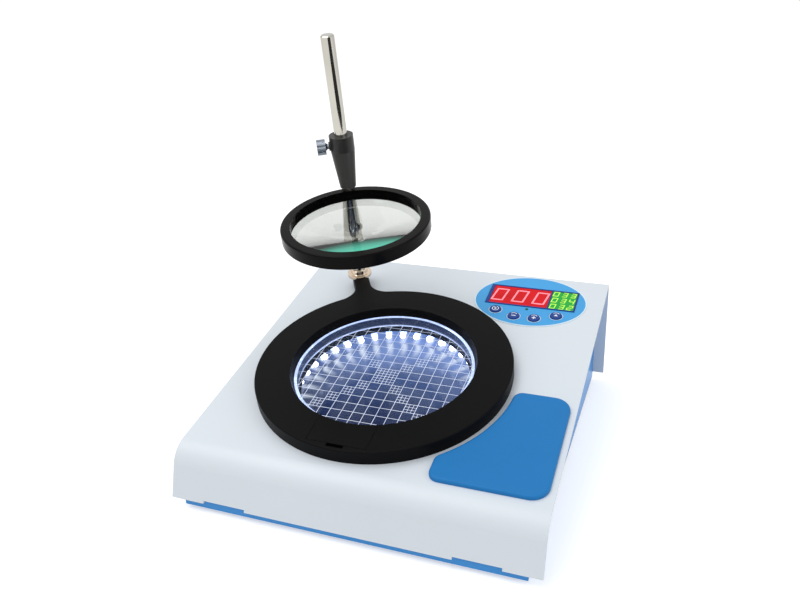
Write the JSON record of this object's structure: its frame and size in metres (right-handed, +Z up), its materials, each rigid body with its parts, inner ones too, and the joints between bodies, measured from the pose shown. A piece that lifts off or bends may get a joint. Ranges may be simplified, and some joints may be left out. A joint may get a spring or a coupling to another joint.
{
  "type": "colony counter",
  "caption": "Bench-top colony counter: sloping white housing, lit dish well in a black ring, magnifier on a post, number displays, buttons and a palm rest.",
  "frame": {"origin": "on the bench under the middle of the housing", "axes": "+X to the operator's right, +Y to the back of the instrument, +Z up"},
  "size_m": [0.298, 0.3304, 0.3498],
  "materials": {
    "white_powder_coat": "satin powder coat",
    "blue_tray": "satin moulded plastic",
    "zinc_steel": "zinc plated",
    "foot_rubber": "matt",
    "black_satin": "fine satin",
    "black_gloss": "gloss",
    "chrome": "polished",
    "warm_chrome": "polished",
    "dark_mirror": "gloss",
    "board_green": "solder mask",
    "lamp_lens": "clear dome",
    "white_nylon": "matt",
    "spring_steel": "drawn wire",
    "clear_glass": "polished with white ruling",
    "clear_acrylic": "polished",
    "lens_glass": "polished",
    "grey_steel": "grey-blue plated",
    "brass": "turned",
    "panel_blue": "satin film",
    "navy": "satin",
    "red_face": "lit red epoxy",
    "green_face": "lit green epoxy",
    "lit_red_bars": "lit",
    "lit_green_bars": "lit",
    "palm_rubber": "soft satin",
    "black_part": "matt"
  },
  "bodies": {
    "housing": {"top_cover": "white_powder_coat", "base_tray": "blue_tray", "cover_pillars": "zinc_steel", "rubber_feet": "foot_rubber", "foot_screws": "zinc_steel", "ring_bezel": "black_satin", "bezel_screws": "zinc_steel", "support_post": "chrome", "post_ferrule": "warm_chrome", "post_bolt": "zinc_steel", "light_well": "black_satin", "dark_floor": "dark_mirror", "lamp_board": "board_green", "lamp_holder": "white_nylon", "lamps": "lamp_lens", "platform_springs": "spring_steel", "press_switch": "black_part", "board_screws": "zinc_steel", "panel_overlay": "panel_blue", "window_frame": "navy", "count_display": "red_face", "count_segments": "lit_red_bars", "rate_display": "green_face", "rate_segments": "lit_green_bars", "button_switches": "black_part", "display_board": "board_green", "display_standoffs": "brass", "pilot_lamp": "lamp_lens", "palm_rest": "palm_rubber", "main_board": "board_green", "main_standoffs": "brass", "processor": "black_part", "capacitors": "grey_steel", "heat_sink": "black_part", "regulator": "black_part", "board_headers": "white_nylon", "buzzer": "black_part", "rocker_housing": "black_part", "power_inlet": "black_part", "inlet_nut": "zinc_steel"},
    "dish_platform": {"platform_carrier": "black_satin", "grid_plate": "clear_glass", "dish_locator": "clear_acrylic"},
    "hatch": {"front_hatch": "black_satin"},
    "slide_bush": {"clamp_bush": "white_nylon"},
    "magnifier_arm": {"clamp_arm": "black_satin", "arm_link_pin": "chrome", "lens_frame": "black_gloss", "magnifier_lens": "lens_glass", "lens_retainer": "black_satin"},
    "thumb_knob": {"thumb_screw": "grey_steel"},
    "screw_tip": {"pressure_tip": "brass"},
    "rocker": {"power_rocker": "black_gloss"},
    "button_1": {"push_button_1": "navy"},
    "button_2": {"push_button_2": "navy"},
    "button_3": {"push_button_3": "navy"},
    "button_4": {"push_button_4": "navy"}
  },
  "joints": [
    {"name": "platform_press", "type": "slide", "parent": "housing", "child": "dish_platform", "axis": [0, 0.213, -0.977], "range_m": [0, 0.001], "stiffness_N_per_m": 3000, "springref_m": -0.0015},
    {"name": "hatch_lift", "type": "slide", "parent": "housing", "child": "hatch", "axis": [0, -0.213, 0.977], "range_m": [0, 0.006]},
    {"name": "height_slide", "type": "slide", "parent": "housing", "child": "slide_bush", "axis": [0, -0.213, 0.977], "range_m": [-0.08, 0.085]},
    {"name": "arm_swivel", "type": "hinge", "parent": "slide_bush", "child": "magnifier_arm", "pos_m": [-0.09194, 0.066, 0.25395], "axis": [0, -0.213, 0.977], "continuous": true},
    {"name": "thumb_turn", "type": "hinge", "parent": "magnifier_arm", "child": "thumb_knob", "pos_m": [-0.10538, 0.0596, 0.24999], "axis": [-0.8846, -0.4557, -0.0994], "range_deg": [0, 360]},
    {"name": "tip_travel", "type": "slide", "parent": "magnifier_arm", "child": "screw_tip", "axis": [-0.8846, -0.4557, -0.0994], "range_m": [0, 0.0008]},
    {"name": "power_switch", "type": "hinge", "parent": "housing", "child": "rocker", "pos_m": [0.092, 0.14998, 0.08404], "axis": [1, 0, 0], "range_deg": [-16, 0]},
    {"name": "button_1_press", "type": "slide", "parent": "housing", "child": "button_1", "axis": [0, 0.213, -0.977], "range_m": [0, 0.0008], "stiffness_N_per_m": 800, "springref_m": -0.0004},
    {"name": "button_2_press", "type": "slide", "parent": "housing", "child": "button_2", "axis": [0, 0.213, -0.977], "range_m": [0, 0.0008], "stiffness_N_per_m": 800, "springref_m": -0.0004},
    {"name": "button_3_press", "type": "slide", "parent": "housing", "child": "button_3", "axis": [0, 0.213, -0.977], "range_m": [0, 0.0008], "stiffness_N_per_m": 800, "springref_m": -0.0004},
    {"name": "button_4_press", "type": "slide", "parent": "housing", "child": "button_4", "axis": [0, 0.213, -0.977], "range_m": [0, 0.0008], "stiffness_N_per_m": 800, "springref_m": -0.0004}
  ],
  "couplings": [
    {"joint": "tip_travel", "follows": "thumb_turn", "m_per_rad": 0.000127}
  ]
}
